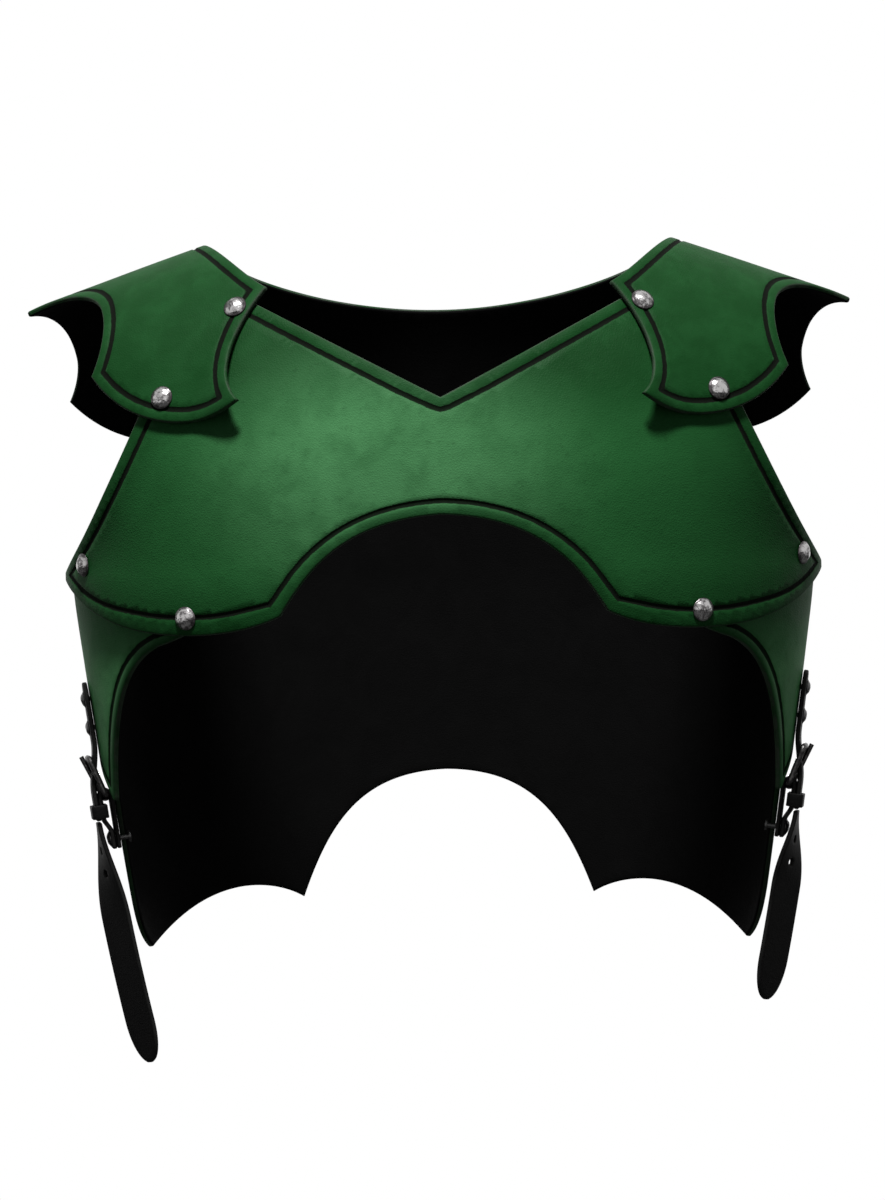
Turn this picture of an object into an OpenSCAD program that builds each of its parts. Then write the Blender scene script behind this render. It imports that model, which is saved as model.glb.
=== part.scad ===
// Leather breastplate: a chest plate and a back plate joined over the shoulders by two riveted
// guards and closed at each side by a strap and buckle between a side panel and the back plate.
// Millimetres. The front faces -Y, +X is to the right of a viewer who faces the front, +Z is up.
// The origin is on the centre line at the height of the wearer's shoulders.

/* [Body inside the plates] */
// half width of the body at the level of the chest plate's side tips
body_half_width = 186.5; // [180:0.5:192]
// how much wider the body is on each side at the shoulders
shoulder_spread = 53; // [48:1:58]
// depth of the chest in front of the shoulder line
front_depth = 112; // [106:1:118]
// depth of the back behind the shoulder line
back_depth = 110; // [104:1:116]
// height over which the shoulders round down into chest and back
shoulder_drop = 150; // [142:1:158]
// height of the shoulder line where it crosses the centre line
ridge_top = 31.5; // [29:0.5:34]
// how fast the shoulder line falls on its way outward
ridge_slope = 0.348; // [0.32:0.002:0.37]
// narrowing on each side for each millimetre below the side tips
waist_taper = 0.15; // [0.12:0.005:0.17]

/* [Leather] */
// thickness of the plates, panels and guards
leather = 3.5; // [3:0.1:4]
// air left between two layers
layer_gap = 0.45; // [0.4:0.05:0.55]
// thickness of the side straps
strap_leather = 2.5; // [2:0.1:3]
// thickness of the leather that holds the buckle
chape_leather = 2.2; // [1.8:0.1:2.5]

/* [Chest plate] */
// drop of the bottom of the V neck
neck_v_drop = 80.7; // [76:0.1:86]
// half width of the chest plate where the neck edge ends
neck_half_width = 98; // [94:1:102]
// drop of the side tips
side_tip_drop = 164; // [160:1:168]
// angle round the body from the centre of the chest to each side tip
side_tip_angle = 85; // [82:1:88]
// drop of the top of the arch between the lobes
arch_drop = 137.5; // [130:0.5:145]
// drop of the lobes' lowest edge
lobe_drop = 195; // [190:1:200]

/* [Side panels] */
// drop of the panel's point
panel_point_drop = 280; // [275:1:285]
// angle round the body of the panel's point
panel_point_angle = 76; // [75:1:77]

/* [Back plate] */
// drop of the neckline at the middle of the back
neckline_drop = 24; // [20:1:28]
// drop of the top of the lower arch
back_arch_drop = 272; // [264:1:280]
// drop of the two inner points
inner_point_drop = 339; // [335:1:343]
// drop of the two outer points
outer_point_drop = 360; // [356:1:364]

/* [Shoulder guards] */
// distance of the guard's outer tip from the centre line
guard_tip_x = 212; // [208:1:216]
// how far the lower corner nearest the neck stands off the chest
corner_lift = 8; // [4:0.5:10]

/* [Large rivets] */
// diameter of the domed cap
cap_diameter = 12; // [11:0.5:13]
// height of the dome
cap_height = 3.2; // [2.5:0.1:4]
// diameter of the post
post_diameter = 4; // [3.5:0.1:4.5]
// room round the post in its hole
post_clearance = 0.25; // [0.15:0.05:0.4]

/* [Side straps] */
// width of the strap
strap_width = 20; // [18:0.5:21]
// free end below the keeper, left
left_tail_length = 128; // [110:1:135]
// free end below the keeper, right
right_tail_length = 100; // [90:1:110]
// turn of the free end about its own length, in degrees
tail_twist = 42; // [30:1:46]
// diameter of the spare holes in the free end
hole_diameter = 4; // [3.5:0.1:4.5]
// distance between spare holes
hole_pitch = 12; // [11.5:0.5:13]
// diameter of the small rivets' caps
small_cap_diameter = 8; // [7:0.5:8.5]

/* [Buckles] */
// diameter of the wire of the buckle frame and its bar
wire = 3; // [2.6:0.1:3.2]
// distance between the bar and the far side of the frame
frame_length = 21; // [20.5:0.1:21.5]
// diameter of the prong
prong_diameter = 2.4; // [2:0.1:2.6]

/* [Hidden] */
$fn = 48;

green = [0.17, 0.36, 0.17];
black = [0.07, 0.07, 0.07];
silver = [0.75, 0.75, 0.72];
steel = [0.45, 0.45, 0.44];

// plain arithmetic

function clamp01(t) = min(1, max(0, t));
function ease(t) = let(c = clamp01(t)) c*c*(3 - 2*c);
function mix(a, b, t) = a + (b - a)*t;
function unit(v) = v/norm(v);
function soft(d, k) = d*d/(abs(d) + k);
function curve_point(p, t) = let(s = 1 - t)
  s*s*s*p[0] + 3*s*s*t*p[1] + 3*s*t*t*p[2] + t*t*t*p[3];
function chain_point(parts, t) = let(k = min(len(parts) - 1, floor(t*len(parts) + 0.0001)))
  curve_point(parts[k], clamp01(t*len(parts) - k));
function straight(a, b) = [a, mix(a, b, 1/3), mix(a, b, 2/3), b];

// points along several curves, with a number of steps for each
function curve_points(parts, steps) = concat(
  [parts[0][0]],
  [for (k = [0:len(parts) - 1]) for (i = [1:steps[k]]) curve_point(parts[k], i/steps[k])]);

// the body: angle goes round it from the centre of the chest, girth goes down from the
// shoulder line, 90 where chest and back become upright

spread_height = 135;
ridge_round = 20;
waist_round = 15;

function narrowing(z) = let(d = -side_tip_drop - z) d > 0 ? waist_taper*soft(d, waist_round) : 0;
function half_width(z) = body_half_width - narrowing(z)
  + shoulder_spread*ease((z + side_tip_drop)/spread_height);
function depth_scale(z) = 1 - narrowing(z)/body_half_width;
function ridge_z(x) = ridge_top - ridge_slope*soft(x, ridge_round);
function drop_of(girth) = girth < 90 ? shoulder_drop*(1 - cos(girth))
  : shoulder_drop*(1 + (girth - 90)*PI/180);
function girth_of(drop) = drop < shoulder_drop ? acos(1 - max(0, drop)/shoulder_drop)
  : 90 + (drop/shoulder_drop - 1)*180/PI;
function share_of(girth) = girth < 90 ? sin(girth) : 1;
function level_at(angle, girth, z = -150, tries = 7) = tries == 0 ? z
  : level_at(angle, girth, ridge_z(half_width(z)*abs(sin(angle))) - drop_of(girth), tries - 1);

// a point of the body from its angle and girth
function body_at(p) = let(
    z = level_at(p[0], p[1]),
    c = cos(p[0]),
    depth = (c > 0 ? front_depth : back_depth)*depth_scale(z)
  ) [half_width(z)*sin(p[0]), -depth*share_of(p[1])*c, z];

// a point of the shoulder from x and girth, which is negative in front
function shoulder_at(p) = let(
    z = ridge_z(p[0]) - drop_of(abs(p[1])),
    side = sqrt(max(0, 1 - pow(p[0]/half_width(z), 2))),
    depth = p[1] < 0 ? front_depth : back_depth
  ) [p[0], depth*sign(p[1])*share_of(abs(p[1]))*side, z];

// angle and girth of a point given by its x and z on the chest, or by its angle and z
function on_chest(p) = [
    asin(min(1, p[0]/half_width(p[1]))),
    girth_of(ridge_z(p[0]) - p[1])
  ];
function on_side(p) = [p[0], girth_of(ridge_z(half_width(p[1])*sin(p[0])) - p[1])];

// the body's surface moved outward by a distance
function body_out(p, out) = let(
    o = body_at(p),
    n = unit(cross(body_at(p + [0.5, 0]) - o, o - body_at(p + [0, 0.5])))
  ) o + out*n;
function shoulder_out(p, out) = let(
    o = shoulder_at(p),
    n = unit(cross(shoulder_at(p + [0.5, 0]) - o, shoulder_at(p + [0, 0.5]) - o))
  ) o + out*n;

// sheets: a patch between four edges, then a solid between two grids of points

// shares from 0 to 1 whose steps grow shorter toward 1
function shares(steps, crowding) = [for (j = [0:steps]) let(t = j/steps) t*(1 + crowding*(1 - t))];

function patch(lower, upper, first, last, crowding = 0) = let(
    n = len(lower) - 1,
    m = len(first) - 1,
    rows = shares(m, crowding)
  ) [for (j = [0:m]) [for (i = [0:n]) let(u = i/n, v = rows[j])
    mix(lower[i], upper[i], v) + mix(first[j], last[j], u)
    - mix(mix(lower[0], lower[n], u), mix(upper[0], upper[n], u), v)]];

module sheet(inner, outer) {
  rows = len(outer);
  cols = len(outer[0]);
  count = rows*cols;
  points = concat([for (r = outer) each r], [for (r = inner) each r]);
  rim = concat(
    [for (i = [0:cols - 1]) i],
    [for (j = [1:rows - 1]) j*cols + cols - 1],
    [for (i = [cols - 2:-1:0]) (rows - 1)*cols + i],
    [for (j = [rows - 2:-1:1]) j*cols]
  );
  // each four-sided cell is split along its shorter diagonal
  cells = [for (j = [0:rows - 2]) for (i = [0:cols - 2]) let(
      a = j*cols + i,
      rising = norm(outer[j][i] - outer[j + 1][i + 1]) < norm(outer[j + 1][i] - outer[j][i + 1])
    ) each rising ? [[a, a + cols, a + cols + 1], [a, a + cols + 1, a + 1]]
      : [[a, a + cols, a + 1], [a + 1, a + cols, a + cols + 1]]];
  faces = concat(
    cells,
    [for (c = cells) [c[0] + count, c[2] + count, c[1] + count]],
    [for (k = [0:len(rim) - 1]) let(a = rim[k], b = rim[(k + 1) % len(rim)])
      each [[a, b, b + count], [a, b + count, a + count]]]
  );
  polyhedron(points, faces, convexity = 6);
}

// distance of each layer's inner face from the body
layer_pitch = leather + layer_gap;
back_layer = 0;
panel_layer = layer_pitch;
// the chest plate doesn't follow the panel's curve closely, so it stands off a little more
chest_ease = 0.2;
chest_layer = panel_layer + layer_pitch + chest_ease;
guard_front_layer = chest_layer + layer_pitch;
guard_back_layer = layer_pitch;

// a rigid move that puts z along a normal at a point
module stand_on(place, normal) {
  n = unit(normal);
  a = unit(cross([0, 0, 1], n));
  b = cross(n, a);
  multmatrix([
    [a[0], b[0], n[0], place[0]],
    [a[1], b[1], n[1], place[1]],
    [a[2], b[2], n[2], place[2]]
  ])
    children();
}

// rivets

hole_radius = post_diameter/2 + post_clearance;
flange_height = 1;
flange_diameter = 9;
seat = 0.3;
// a flat flange under curved leather touches it at its rim, so its middle stands off more
flange_room = 0.75;

module domed_cap(diameter, height) {
  r = diameter/2;
  ball = (r*r + height*height)/(2*height);
  rotate_extrude()
    intersection() {
      translate([0, height - ball])
        circle(ball, $fn = 96);
      square([r, height]);
    }
}

module post(diameter, flange, length) {
  cylinder(d = diameter, h = length);
  cylinder(d = flange, h = flange_height);
}

// places on the body where the large rivets stand, as x and girth or angle and z
guard_front_places = [[98.5, -43.5], [134.5, -57.7]];
guard_back_places = [[104, 44], [142, 57]];
panel_places = [[42.6, -186], [69.7, -158]];

function guard_face(x_girth) = shoulder_out(x_girth, 0);
function guard_normal(x_girth) = shoulder_out(x_girth, 1) - shoulder_out(x_girth, 0);
function panel_face(angle_z) = body_out(on_side(angle_z), 0);
function panel_normal(angle_z) = body_out(on_side(angle_z), 1) - panel_face(angle_z);

module at_guard_front(out) {
  for (p = guard_front_places)
    stand_on(guard_face(p), guard_normal(p))
      translate([0, 0, out])
        children();
}

module at_guard_back(out) {
  for (p = guard_back_places)
    stand_on(guard_face(p), guard_normal(p))
      translate([0, 0, out])
        children();
}

module at_panel(out) {
  for (p = panel_places)
    stand_on(panel_face(p), panel_normal(p))
      translate([0, 0, out])
        children();
}

module both_sides() {
  children();
  mirror([1, 0, 0])
    children();
}

bore_reach = 14;

module bore(radius) {
  translate([0, 0, -bore_reach])
    cylinder(r = radius, h = 3*bore_reach);
}

// chest plate

tip_blunt = 2.5;
chest_rows = 12;
chest_lower_steps = [9, 7, 14];
chest_upper_steps = [11, 3, 16];
tip_x = body_half_width*sin(side_tip_angle);
lobe_corner = [79, -186];
shoulder_corner = [130, -49];
neck_end = [neck_half_width, -30];

chest_lower_parts = [
  [[0, -arch_drop], [43, -arch_drop - 1.5], [64, -160], lobe_corner],
  [lobe_corner, [90, -192], [108, -lobe_drop - 0.5], [125, -lobe_drop]],
  [[125, -lobe_drop], [150, -lobe_drop + 0.5], [172, -188], [tip_x, -side_tip_drop - tip_blunt]]
];
chest_upper_parts = [
  straight([0, -neck_v_drop], neck_end),
  straight(neck_end, shoulder_corner),
  straight(shoulder_corner, [tip_x, -side_tip_drop + tip_blunt])
];

function chest_edge(parts, steps) = let(
    half = [for (p = curve_points(parts, steps)) on_chest(p)]
  ) concat([for (i = [len(half) - 1:-1:1]) [-half[i][0], half[i][1]]], half);
function between(a, b, n) = [for (j = [0:n]) mix(a, b, j/n)];

chest_grid = let(
    lower = chest_edge(chest_lower_parts, chest_lower_steps),
    upper = chest_edge(chest_upper_parts, chest_upper_steps),
    n = len(lower) - 1
  ) patch(lower, upper, between(lower[0], upper[0], chest_rows),
    between(lower[n], upper[n], chest_rows));

module body_sheet(grid, out) {
  sheet(
    [for (row = grid) [for (p = row) body_out(p, out)]],
    [for (row = grid) [for (p = row) body_out(p, out + leather)]]
  );
}

module chest_plate() {
  color(green)
    difference() {
      body_sheet(chest_grid, chest_layer);
      both_sides() {
        at_guard_front(0)
          bore(hole_radius);
        at_panel(0)
          bore(hole_radius);
      }
    }
}

// back plate

back_rows = 17;
back_lower_steps = [14, 16];
back_neck_steps = [10, 3];
back_armhole_steps = 17;
back_crowding = 0.6;
inner_point = [78, -inner_point_drop];
outer_point = [156, -outer_point_drop];
neck_corner_behind = [112, -2.6];
shoulder_corner_behind = [148, -17];
front_corner_behind = [80.7, -205];

function angle_behind(p) = 180 - asin(min(1, p[0]/half_width(p[1])));
function behind(p) = [angle_behind(p), on_chest(p)[1]];

back_lower_parts = [
  [[0, -back_arch_drop], [47, -back_arch_drop - 1], [64, -300], inner_point],
  [inner_point, [94, -329], [128, -325], outer_point]
];
back_neck = [[0, -neckline_drop], [40, -neckline_drop], [85, -16], neck_corner_behind];
back_shoulder = straight(neck_corner_behind, shoulder_corner_behind);
back_armhole = [
  [angle_behind(shoulder_corner_behind), shoulder_corner_behind[1]],
  [138, -100], [100, -190], front_corner_behind
];
back_side = [
  [angle_behind(outer_point), -outer_point_drop],
  [86, -345], [84, -300], front_corner_behind
];

back_lower = [for (p = curve_points(back_lower_parts, back_lower_steps)) behind(p)];
back_upper = concat(
  [for (p = curve_points([back_neck, back_shoulder], back_neck_steps)) behind(p)],
  [for (i = [1:back_armhole_steps]) on_side(curve_point(back_armhole, i/back_armhole_steps))]
);
function whole_back(half) = concat(
  [for (i = [len(half) - 1:-1:1]) half[i]],
  [for (i = [0:len(half) - 1]) [360 - half[i][0], half[i][1]]]);

back_grid = let(
    side = [for (v = shares(back_rows, back_crowding)) on_side(curve_point(back_side, v))]
  ) patch(whole_back(back_lower), whole_back(back_upper), side,
    [for (p = side) [360 - p[0], p[1]]], back_crowding);

module back_plate() {
  color(green)
    difference() {
      body_sheet(back_grid, back_layer);
      both_sides() {
        at_guard_back(0)
          bore(hole_radius);
        closure()
          at_chape_rivets()
            bore(small_hole_radius);
      }
    }
}

// side panels

panel_cols = 14;
panel_rows = 18;
panel_front_top = [37, -180];
panel_rear_top = [94, -182];
panel_blunt = 0.8;
panel_point_front = [panel_point_angle - panel_blunt, -panel_point_drop];
panel_point_rear = [panel_point_angle + panel_blunt, -panel_point_drop];
panel_front = [
  [panel_front_top, [39, -190], [45, -197], [51, -200.5]],
  [[51, -200.5], [61, -210], [67.5, -232], panel_point_front]
];
panel_rear = [
  [panel_rear_top, [94.5, -205], [95, -225], [94, -240]],
  [[94, -240], [92, -258], [82, -268], panel_point_rear]
];
panel_top = [panel_front_top, [52, -146], [72, -132], panel_rear_top];

panel_grid = patch(
  [for (i = [0:panel_cols]) on_side(mix(panel_point_front, panel_point_rear, i/panel_cols))],
  [for (i = [0:panel_cols]) on_side(curve_point(panel_top, i/panel_cols))],
  [for (j = [0:panel_rows]) on_side(chain_point(panel_front, 1 - j/panel_rows))],
  [for (j = [0:panel_rows]) on_side(chain_point(panel_rear, 1 - j/panel_rows))]
);

module side_panel() {
  color(green)
    difference() {
      body_sheet(panel_grid, panel_layer);
      at_panel(0)
        bore(hole_radius);
      closure()
        at_root_rivets() {
          bore(small_hole_radius);
          cylinder(r = small_flange_diameter/2 + seat, h = panel_layer + flange_height + seat);
        }
    }
}

module side_panel_right() {
  side_panel();
}

module side_panel_left() {
  mirror([1, 0, 0])
    side_panel();
}

// shoulder guards

guard_cols = 16;
guard_rows = 28;
neck_corner = [83, 41];
low_front_corner = [94.5, -65.4];
low_back_corner = [96, 63];
ridge_neck = [118.5, 0];
ridge_tip = [guard_tip_x, 0];

guard_front_edge = [low_front_corner, [110, -67.5], [150, -64], [171, -45.9]];
guard_back_edge = [low_back_corner, [112, 66], [165, 66], [194, 44]];
guard_neck = [
  [low_front_corner, [106, -60], [104, -50], [neck_corner[0], -neck_corner[1]]],
  [[neck_corner[0], -neck_corner[1]], [96, -35], [118.5, -15], ridge_neck],
  [ridge_neck, [118.5, 15], [98, 35], neck_corner],
  [neck_corner, [104, 50], [106, 58], low_back_corner]
];
guard_outer = [
  [[171, -45.9], [166, -41], [165, -34], [168, -28]],
  [[168, -28], [170, -22], [184, -10], ridge_tip],
  [ridge_tip, [203, 7], [193, 20], [190, 33]],
  [[190, 33], [189.5, 37], [191, 41], [194, 44]]
];

guard_grid = patch(
  [for (i = [0:guard_cols]) curve_point(guard_front_edge, i/guard_cols)],
  [for (i = [0:guard_cols]) curve_point(guard_back_edge, i/guard_cols)],
  [for (j = [0:guard_rows]) chain_point(guard_neck, j/guard_rows)],
  [for (j = [0:guard_rows]) chain_point(guard_outer, j/guard_rows)]
);

// the guard lies on the chest plate in front and on the back plate behind
function guard_out(girth) = mix(guard_front_layer, guard_back_layer, ease((girth + 40)/80));
lifted_width = 0.4;
lifted_height = 0.2;
function guard_lift(u, v) = corner_lift*ease(1 - u/lifted_width)*ease(1 - v/lifted_height);

function guard_points(thick) = [for (j = [0:guard_rows]) [for (i = [0:guard_cols])
  let(p = guard_grid[j][i])
  shoulder_out(p, guard_out(p[1]) + guard_lift(i/guard_cols, j/guard_rows) + thick)]];

module shoulder_guard() {
  color(green)
    difference() {
      sheet(guard_points(0), guard_points(leather));
      at_guard_front(0)
        bore(hole_radius);
      at_guard_back(0)
        bore(hole_radius);
    }
}

module shoulder_guard_right() {
  shoulder_guard();
}

module shoulder_guard_left() {
  mirror([1, 0, 0])
    shoulder_guard();
}

// large rivets

// each goes through an inner and an outer layer and ends at the cap
module large_post(inner, outer) {
  start = inner - flange_room - flange_height;
  translate([0, 0, start])
    post(post_diameter, flange_diameter, outer + leather + seat - start);
}

module guard_front_rivet_caps() {
  color(silver)
    both_sides()
      at_guard_front(guard_front_layer + leather + seat)
        domed_cap(cap_diameter, cap_height);
}

module guard_front_rivet_posts() {
  color(steel)
    both_sides()
      at_guard_front(0)
        large_post(chest_layer, guard_front_layer);
}

module guard_back_rivet_caps() {
  color(silver)
    both_sides()
      at_guard_back(guard_back_layer + leather + seat)
        domed_cap(cap_diameter, cap_height);
}

module guard_back_rivet_posts() {
  color(steel)
    both_sides()
      at_guard_back(0)
        large_post(back_layer, guard_back_layer);
}

module panel_rivet_caps() {
  color(silver)
    both_sides()
      at_panel(chest_layer + leather + seat)
        domed_cap(cap_diameter, cap_height);
}

module panel_rivet_posts() {
  color(steel)
    both_sides()
      at_panel(0)
        large_post(panel_layer, chest_layer);
}

// closure: x goes outward from the body, y backward along it and z up, from a point at the side

closure_angle = 86;
closure_drop = 255;
closure_span = 40;

module closure() {
  place = body_at(on_side([closure_angle, -closure_drop]));
  top = body_at(on_side([closure_angle, -closure_drop + closure_span]));
  low = body_at(on_side([closure_angle, -closure_drop - closure_span]));
  ahead = body_at(on_side([closure_angle - 2, -closure_drop]));
  rear = body_at(on_side([closure_angle + 2, -closure_drop]));
  up = unit(top - low);
  out = unit(cross(rear - ahead, up));
  along = cross(up, out);
  multmatrix([
    [out[0], along[0], up[0], place[0]],
    [out[1], along[1], up[1], place[1]],
    [out[2], along[2], up[2], place[2]]
  ])
    children();
}

// levels in the closure, measured up from its point

root_top = 37;
root_bottom = 6;
root_rivets = [28, 13];
bar_z = -23;
keeper_top = -27.5;
keeper_bottom = -34.5;
tail_top = -36.5;
chape_rivet_z = -46;
chape_bottom = -51;
small_post_diameter = 2.6;
small_cap_height = 1.8;
small_flange_diameter = 6;
small_clearance = 0.2;
small_hole_radius = small_post_diameter/2 + small_clearance;
chape_rivet_spread = 4.8;
bar_clearance = 0.25;

bar_room = wire/2 + bar_clearance;
chape_inner = back_layer + leather + layer_gap;
bar_x = chape_inner + chape_leather + bar_room;
fold_outer = bar_x + bar_room + chape_leather;
root_inner = panel_layer + leather + layer_gap;
strap_low_inner = fold_outer + seat;
ramp_top = 6;
ramp_bottom = -22;

function strap_x(z) = mix(root_inner, strap_low_inner, ease((ramp_top - z)/(ramp_top - ramp_bottom)));

// share of the frame's length that runs along the strap, as the frame leans outward
frame_share = 0.972;
frame_seat = 0.45;
frame_side_room = 1;
rim_z = bar_z + frame_length*frame_share;
rim_x = strap_x(rim_z) + strap_leather + frame_seat + wire/2;
frame_lean = atan2(rim_x - bar_x, rim_z - bar_z);
frame_reach = norm([rim_x - bar_x, rim_z - bar_z]);
frame_half_width = strap_width/2 + frame_side_room + wire/2;
frame_corner = 2.6;
loop_metal = 1.2;
prong_loop = bar_room + loop_metal;

module at_root_rivets() {
  for (z = root_rivets)
    translate([0, 0, z])
      rotate([0, 90, 0])
        children();
}

module at_chape_rivets() {
  for (y = [-chape_rivet_spread, chape_rivet_spread])
    translate([0, y, chape_rivet_z])
      rotate([0, 90, 0])
        children();
}

// extrudes a drawing of x and z across a width
module across(width) {
  translate([0, width/2, 0])
    rotate([90, 0, 0])
      linear_extrude(height = width)
        children();
}

// side straps

strap_steps = 14;
slot_low = -21.5;
slot_high = -8.6;
slot_radius = 1.75;

module strap_side_view() {
  inner = [for (k = [0:strap_steps]) let(z = mix(ramp_top, ramp_bottom, k/strap_steps)) [strap_x(z), z]];
  outer = [for (k = [strap_steps:-1:0]) inner[k] + [strap_leather, 0]];
  polygon(concat(
    [[root_inner, root_top]],
    inner,
    [[strap_low_inner, tail_top + 1], [strap_low_inner + strap_leather, tail_top + 1]],
    outer,
    [[root_inner + strap_leather, root_top]]
  ));
}

module side_strap() {
  reach = root_top + root_bottom + strap_width;
  color(black)
    closure()
      difference() {
        intersection() {
          across(strap_width)
            strap_side_view();
          union() {
            translate([0, 0, root_top - strap_width/2])
              rotate([0, 90, 0])
                cylinder(d = strap_width, h = 2*bore_reach);
            translate([0, -strap_width/2, root_top - strap_width/2 - 2*reach])
              cube([2*bore_reach, strap_width, 2*reach]);
          }
        }
        at_root_rivets()
          cylinder(r = small_hole_radius, h = 2*bore_reach);
        for (z = [slot_low + slot_radius, slot_high - slot_radius])
          translate([0, 0, z])
            rotate([0, 90, 0])
              cylinder(r = slot_radius, h = 2*bore_reach);
        translate([0, -slot_radius, slot_low + slot_radius])
          cube([2*bore_reach, 2*slot_radius, slot_high - slot_low - 2*slot_radius]);
      }
}

module side_strap_right() {
  side_strap();
}

module side_strap_left() {
  mirror([1, 0, 0])
    side_strap();
}

// free ends: a strip that turns and curves inward on its way down, with spare holes

tail_rows = 26;
tail_cols = 4;
tail_point = 22;
left_curl = 6.5;
right_curl = 3.5;
// share of its length over which a free end turns
turn_share = 0.4;
tail_blunt = 1.2;
first_hole = 15;
spare_holes = 2;
tail_mid_x = strap_low_inner + strap_leather/2;

function tail_turn(s, length) = tail_twist*ease(s/(turn_share*length));
function tail_centre(s, length, curl) =
  [tail_mid_x - curl*pow(s/length, 2), 0, tail_top - s];
function tail_half(s, length) = let(e = length - s)
  e > tail_point ? strap_width/2
  : max(tail_blunt, strap_width/2*sqrt(1 - pow(1 - e/tail_point, 2)));
function tail_grid(length, curl, side) = [for (j = [tail_rows:-1:0])
  let(s = length*j/tail_rows, a = tail_turn(s, length), c = tail_centre(s, length, curl))
  [for (i = [0:tail_cols]) let(w = mix(-1, 1, i/tail_cols)*tail_half(s, length))
    c + [sin(a)*w + cos(a)*side*strap_leather/2, cos(a)*w - sin(a)*side*strap_leather/2, 0]]];

module strap_tail(length, curl) {
  color(black)
    closure()
      difference() {
        sheet(tail_grid(length, curl, -1), tail_grid(length, curl, 1));
        for (k = [0:spare_holes - 1])
          let(s = first_hole + k*hole_pitch)
          translate(tail_centre(s, length, curl))
            rotate([0, 0, -tail_turn(s, length)])
              rotate([0, 90, 0])
                cylinder(d = hole_diameter, h = 4*strap_leather, center = true);
      }
}

module strap_tail_right() {
  strap_tail(right_tail_length, right_curl);
}

module strap_tail_left() {
  mirror([1, 0, 0])
    strap_tail(left_tail_length, left_curl);
}

// chape: leather folded round the bar, riveted together on the back plate

bend_top = keeper_bottom - 1;
bend_height = 6;
bend_bottom = bend_top - bend_height;
chape_low_x = chape_inner + chape_leather + seat;
chape_high_x = bar_x + bar_room;
prong_slot = 3.9;
prong_slot_room = 0.4;
prong_slot_reach = prong_loop + prong_slot_room;

module chape_side_view() {
  translate([chape_inner, chape_bottom])
    square([chape_leather, bar_z - chape_bottom]);
  difference() {
    translate([bar_x, bar_z])
      circle(bar_room + chape_leather);
    translate([bar_x, bar_z])
      circle(bar_room);
    translate([0, bar_z - 2*bore_reach])
      square(2*bore_reach);
  }
  polygon([
    [chape_high_x, bar_z],
    [chape_high_x, bend_top],
    [chape_low_x, bend_bottom],
    [chape_low_x, chape_bottom],
    [chape_low_x + chape_leather, chape_bottom],
    [chape_low_x + chape_leather, bend_bottom],
    [chape_high_x + chape_leather, bend_top],
    [chape_high_x + chape_leather, bar_z]
  ]);
}

module buckle_chape() {
  color(black)
    closure()
      difference() {
        across(strap_width)
          chape_side_view();
        translate([0, -prong_slot/2, bar_z - prong_slot_reach])
          cube([2*bore_reach, prong_slot, 3*prong_slot_reach]);
        at_chape_rivets()
          cylinder(r = small_hole_radius, h = 2*bore_reach);
      }
}

module buckle_chape_right() {
  buckle_chape();
}

module buckle_chape_left() {
  mirror([1, 0, 0])
    buckle_chape();
}

// buckle frame: its bar on the closure's y axis, the far side leaning outward over the strap

module in_frame_plane() {
  translate([bar_x, 0, bar_z])
    rotate([0, frame_lean, 0])
      children();
}

module frame_corner_at(y, z, turn) {
  translate([0, y, z])
    rotate([0, -90, 0])
      rotate([0, 0, turn])
        rotate_extrude(angle = 90)
          translate([frame_corner, 0])
            circle(d = wire);
}

module frame_rod(length) {
  cylinder(d = wire, h = length);
}

module buckle_frame() {
  w = frame_half_width;
  c = frame_corner;
  color(steel)
    closure()
      in_frame_plane() {
        for (z = [0, frame_reach])
          translate([0, -w + c, z])
            rotate([-90, 0, 0])
              frame_rod(2*(w - c));
        for (y = [-w, w])
          translate([0, y, c])
            frame_rod(frame_reach - 2*c);
        frame_corner_at(w - c, frame_reach - c, 0);
        frame_corner_at(-w + c, frame_reach - c, -90);
        frame_corner_at(-w + c, c, 180);
        frame_corner_at(w - c, c, 90);
      }
}

module buckle_frame_right() {
  buckle_frame();
}

module buckle_frame_left() {
  mirror([1, 0, 0])
    buckle_frame();
}

// prong: a loop round the bar and a pin that rests over the far side of the frame

loop_width = 3.2;
pin_start = 1.5;
pin_over = wire/2 + seat + prong_diameter/2;
pin_beyond = 2.4;

module buckle_prong() {
  rise = atan2(pin_over - pin_start, frame_reach);
  color(steel)
    closure()
      in_frame_plane()
        difference() {
          union() {
            rotate([90, 0, 0])
              cylinder(r = prong_loop, h = loop_width, center = true);
            translate([pin_start, 0, 0])
              rotate([0, rise, 0])
                cylinder(d = prong_diameter, h = frame_reach + pin_beyond);
          }
          rotate([90, 0, 0])
            cylinder(r = wire/2 + small_clearance, h = 2*loop_width, center = true);
        }
}

module buckle_prong_right() {
  buckle_prong();
}

module buckle_prong_left() {
  mirror([1, 0, 0])
    buckle_prong();
}

// keeper: a leather loop round the strap and the chape's outer layer

keeper_leather = 1.5;
keeper_room = 0.4;

module strap_keeper() {
  inner_x = chape_high_x - seat - keeper_leather;
  outer_x = strap_low_inner + strap_leather + seat + keeper_leather;
  half = strap_width/2 + keeper_room;
  color(black)
    closure()
      translate([0, 0, keeper_bottom])
        difference() {
          translate([inner_x, -half - keeper_leather, 0])
            cube([outer_x - inner_x, 2*(half + keeper_leather), keeper_top - keeper_bottom]);
          translate([inner_x + keeper_leather, -half, -1])
            cube([outer_x - inner_x - 2*keeper_leather, 2*half, keeper_top - keeper_bottom + 2]);
        }
}

module strap_keeper_right() {
  strap_keeper();
}

module strap_keeper_left() {
  mirror([1, 0, 0])
    strap_keeper();
}

// small rivets of straps and chapes

module strap_rivet_caps() {
  color(black)
    both_sides()
      closure()
        at_root_rivets()
          translate([0, 0, root_inner + strap_leather + seat/2])
            domed_cap(small_cap_diameter, small_cap_height);
}

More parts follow.
